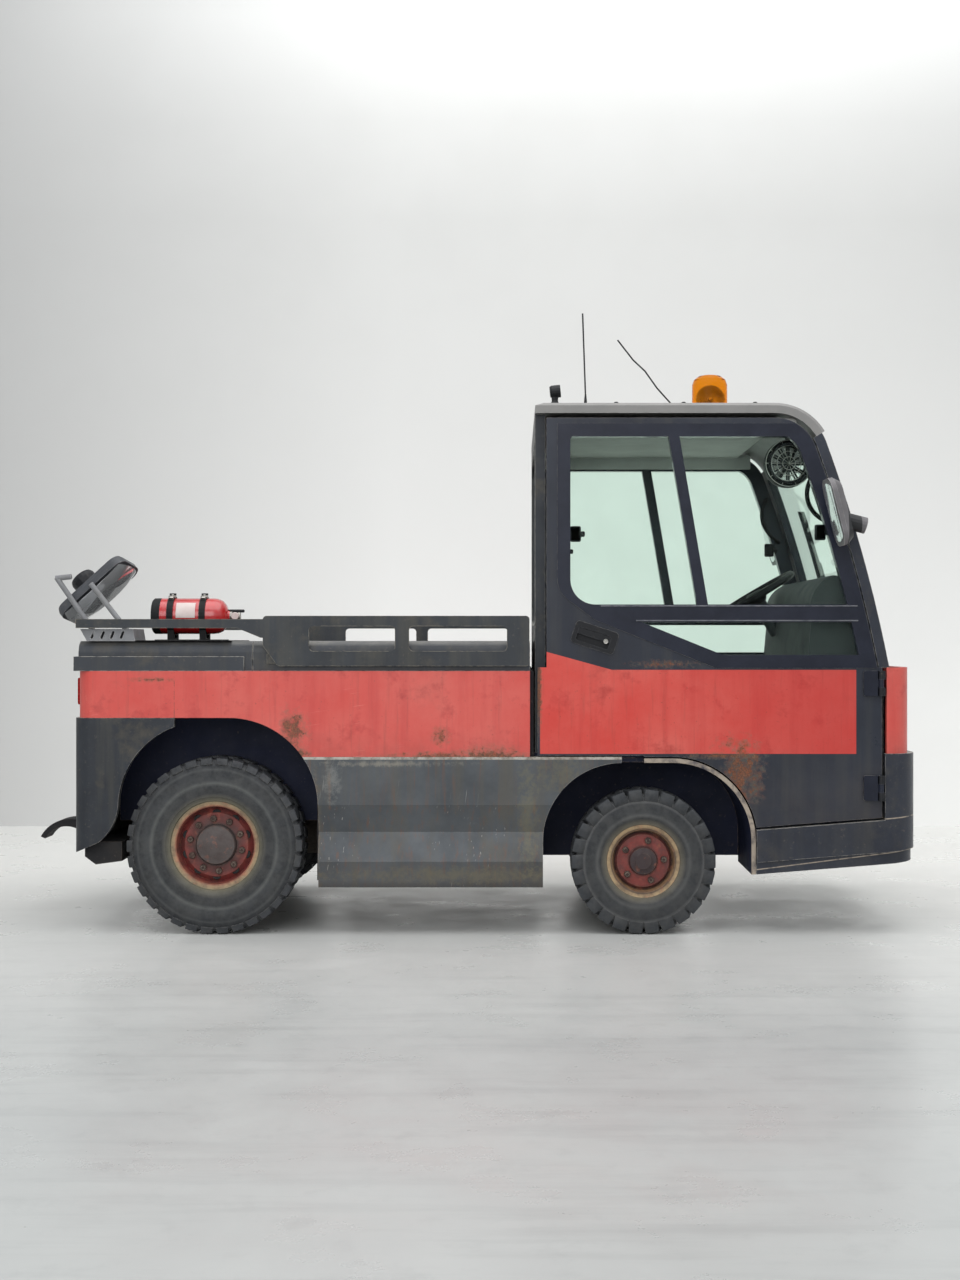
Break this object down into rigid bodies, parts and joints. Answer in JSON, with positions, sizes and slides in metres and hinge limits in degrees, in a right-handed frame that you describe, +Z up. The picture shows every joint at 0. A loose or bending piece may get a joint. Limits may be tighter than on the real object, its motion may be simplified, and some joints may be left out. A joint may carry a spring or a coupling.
{
  "type": "electric baggage tug",
  "caption": "Electric airport tow tractor with a closed two-door cab, a flat railed deck over the battery and a tow coupling at the tail.",
  "frame": {"origin": "on the ground, in the middle of the bounding box", "axes": "+X forward to the cab end, +Y to the driver's left, +Z up"},
  "size_m": [3.41, 1.696, 2.3331],
  "materials": {
    "red_paint": "faded, chipped and rusted at the edges",
    "bottle_paint": "glossy red",
    "dark_paint": "charcoal, semi-matt",
    "skirt_paint": "dusty charcoal",
    "grey_paint": "grey tube paint",
    "roof_paint": "light warm grey",
    "chassis_black": "matt black",
    "cast_axle": "dirty black casting",
    "bare_steel": "dull steel",
    "tyre_rubber": "dusty worn rubber",
    "rim_paint": "rusty dark red",
    "window_glass": "slightly green",
    "mirror_shell": "grey moulded shell",
    "seat_vinyl": "black vinyl",
    "black_plastic": "black",
    "black_rubber": "black",
    "amber_lens": "amber",
    "red_lens": "red",
    "clear_lens": "clear"
  },
  "bodies": {
    "tug": {"antennas": "black_plastic", "arch_liners": "chassis_black", "battery_block": "chassis_black", "beacon_base": "black_plastic", "beacon_lens": "amber_lens", "cab_fan": "black_plastic", "cab_floor": "chassis_black", "cab_front_frame": "dark_paint", "cab_glass": "window_glass", "cab_rear_wall": "dark_paint", "cab_roof": "roof_paint", "chassis_frame": "chassis_black", "coupling_lamp": "black_plastic", "coupling_mirror": "mirror_shell", "coupling_mirror_stand": "grey_paint", "dashboard": "black_plastic", "deck_rails": "dark_paint", "door_hinges": "dark_paint", "drive_axle": "cast_axle", "extinguisher_cradle": "chassis_black", "fire_extinguisher": "bottle_paint", "front_axle": "cast_axle", "front_bumper": "dark_paint", "front_cowl": "red_paint", "front_deck_cover": "dark_paint", "headlamps": "clear_lens", "pedals": "black_rubber", "rear_bumper": "dark_paint", "rear_deck_cover": "dark_paint", "seats": "seat_vinyl", "side_panels": "red_paint", "side_skirts": "skirt_paint", "tail_lamps": "red_lens", "tail_panel": "red_paint", "tow_coupling": "chassis_black", "wiper": "black_plastic", "work_lamp": "black_plastic"},
    "rear_wheel_left": {"rear_tyre_left": "tyre_rubber", "rear_rim_left": "rim_paint"},
    "steering_knuckle_left": {"knuckle_left": "cast_axle"},
    "front_wheel_left": {"front_tyre_left": "tyre_rubber", "front_rim_left": "rim_paint"},
    "door_left": {"door_panel_left": "dark_paint", "door_glass_left": "window_glass", "door_handle_left": "black_plastic", "door_mirror_left": "mirror_shell"},
    "rear_wheel_right": {"rear_tyre_right": "tyre_rubber", "rear_rim_right": "rim_paint"},
    "steering_knuckle_right": {"knuckle_right": "cast_axle"},
    "front_wheel_right": {"front_tyre_right": "tyre_rubber", "front_rim_right": "rim_paint"},
    "door_right": {"door_panel_right": "dark_paint", "door_glass_right": "window_glass", "door_handle_right": "black_plastic", "door_mirror_right": "mirror_shell"},
    "track_rod": {"tie_rod": "bare_steel"},
    "hand_wheel": {"steering_wheel": "black_plastic"}
  },
  "joints": [
    {"name": "rear_wheel_left_spin", "type": "hinge", "parent": "tug", "child": "rear_wheel_left", "pos_m": [-0.9, 0.526, 0.328], "axis": [0, 1, 0], "continuous": true},
    {"name": "steer_left", "type": "hinge", "parent": "tug", "child": "steering_knuckle_left", "pos_m": [0.69, 0.42, 0.27], "axis": [0, 0, 1], "range_deg": [-35, 35]},
    {"name": "front_wheel_left_spin", "type": "hinge", "parent": "steering_knuckle_left", "child": "front_wheel_left", "pos_m": [0.69, 0.54, 0.27], "axis": [0, 1, 0], "continuous": true},
    {"name": "door_left_swing", "type": "hinge", "parent": "tug", "child": "door_left", "pos_m": [1.562, 0.653, 0.749], "axis": [0, 0, -1], "range_deg": [0, 75]},
    {"name": "rear_wheel_right_spin", "type": "hinge", "parent": "tug", "child": "rear_wheel_right", "pos_m": [-0.9, -0.526, 0.328], "axis": [0, 1, 0], "continuous": true},
    {"name": "steer_right", "type": "hinge", "parent": "tug", "child": "steering_knuckle_right", "pos_m": [0.69, -0.42, 0.27], "axis": [0, 0, 1], "range_deg": [-35, 35]},
    {"name": "front_wheel_right_spin", "type": "hinge", "parent": "steering_knuckle_right", "child": "front_wheel_right", "pos_m": [0.69, -0.54, 0.27], "axis": [0, 1, 0], "continuous": true},
    {"name": "door_right_swing", "type": "hinge", "parent": "tug", "child": "door_right", "pos_m": [1.562, -0.653, 0.749], "axis": [0, 0, 1], "range_deg": [0, 75]},
    {"name": "track_rod_swing", "type": "hinge", "parent": "steering_knuckle_left", "child": "track_rod", "pos_m": [0.54, 0.42, 0.219], "axis": [0, 0, 1], "range_deg": [-35, 35]},
    {"name": "hand_wheel_turn", "type": "hinge", "parent": "tug", "child": "hand_wheel", "pos_m": [1.233, 0.28, 1.281], "axis": [-0.512, 0, 0.859], "range_deg": [-735, 735]}
  ],
  "couplings": [
    {"joint": "steer_right", "follows": "steer_left", "ratio": 1},
    {"joint": "track_rod_swing", "follows": "steer_left", "ratio": -1},
    {"joint": "hand_wheel_turn", "follows": "steer_left", "ratio": 21}
  ]
}
